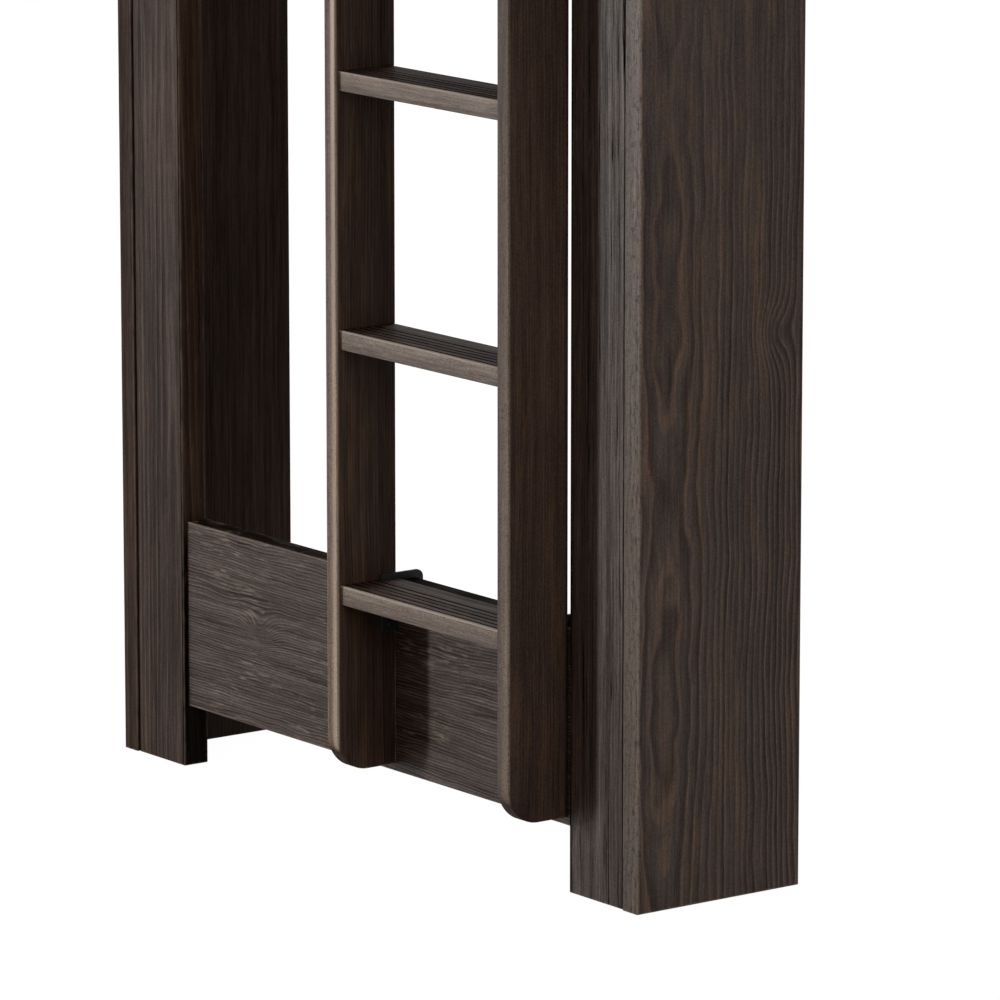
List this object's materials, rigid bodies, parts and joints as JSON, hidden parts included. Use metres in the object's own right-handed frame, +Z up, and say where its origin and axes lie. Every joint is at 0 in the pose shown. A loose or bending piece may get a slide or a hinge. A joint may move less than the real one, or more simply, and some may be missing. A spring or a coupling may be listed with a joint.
{
  "type": "bunk bed with ladder",
  "caption": "High twin bunk bed in dark stained pine: L-shaped board legs, low and upper end boards, slatted base, guard rails and a hook-on end ladder over an open space.",
  "frame": {"origin": "centre of the whole bed's footprint, ladder included, on the floor", "axes": "+Y runs along the bed away from the ladder end, +X is to the right when facing the ladder end, +Z is up"},
  "size_m": [1.046, 2.0676, 1.74],
  "materials": {
    "leg_pine": "dark charcoal-brown stain on brushed pine, satin",
    "rail_pine": "dark charcoal-brown stain on brushed pine, wavy raised grain, satin",
    "ladder_pine": "dark charcoal-brown stain on brushed pine, worn along the edges, satin",
    "slat_pine": "thin charcoal-brown stain on planed pine, matt",
    "hook_steel": "black powder coat, satin",
    "bolt_steel": "dark bronze plating, satin",
    "glide_nylon": "dark moulded nylon"
  },
  "bodies": {
    "bed": {"ladder_left_leg_side_board": "leg_pine", "ladder_left_leg_front_board": "leg_pine", "ladder_left_glide": "glide_nylon", "ladder_left_bolt_1": "bolt_steel", "ladder_left_bolt_2": "bolt_steel", "ladder_right_leg_side_board": "leg_pine", "ladder_right_leg_front_board": "leg_pine", "ladder_right_glide": "glide_nylon", "ladder_right_bolt_1": "bolt_steel", "ladder_right_bolt_2": "bolt_steel", "far_left_leg_side_board": "leg_pine", "far_left_leg_front_board": "leg_pine", "far_left_glide": "glide_nylon", "far_left_bolt_1": "bolt_steel", "far_left_bolt_2": "bolt_steel", "far_right_leg_side_board": "leg_pine", "far_right_leg_front_board": "leg_pine", "far_right_glide": "glide_nylon", "far_right_bolt_1": "bolt_steel", "far_right_bolt_2": "bolt_steel", "ladder_low_end_board": "rail_pine", "ladder_upper_end_board": "rail_pine", "far_low_end_board": "rail_pine", "far_upper_end_board": "rail_pine", "left_side_rail": "rail_pine", "left_slat_cleat": "slat_pine", "left_guard_rail": "rail_pine", "left_guard_block_1": "rail_pine", "left_guard_block_2": "rail_pine", "right_side_rail": "rail_pine", "right_slat_cleat": "slat_pine", "right_guard_rail": "rail_pine", "right_guard_block_1": "rail_pine", "right_guard_block_2": "rail_pine", "ladder_end_guard_rail": "rail_pine", "guard_post": "rail_pine", "far_end_guard_rail": "rail_pine", "far_end_guard_block": "rail_pine", "slat_01": "slat_pine", "slat_02": "slat_pine", "slat_03": "slat_pine", "slat_04": "slat_pine", "slat_05": "slat_pine", "slat_06": "slat_pine", "slat_07": "slat_pine", "slat_08": "slat_pine", "slat_09": "slat_pine", "slat_10": "slat_pine", "slat_11": "slat_pine", "slat_12": "slat_pine"},
    "ladder": {"ladder_left_stile": "ladder_pine", "ladder_right_stile": "ladder_pine", "rung_1": "ladder_pine", "rung_2": "ladder_pine", "rung_3": "ladder_pine", "rung_4": "ladder_pine", "low_left_hook": "hook_steel", "low_right_hook": "hook_steel", "upper_left_hook": "hook_steel", "upper_right_hook": "hook_steel"}
  },
  "joints": [
    {"name": "ladder_lift", "type": "slide", "parent": "bed", "child": "ladder", "axis": [0, 0, 1], "range_m": [0, 0.06]}
  ]
}
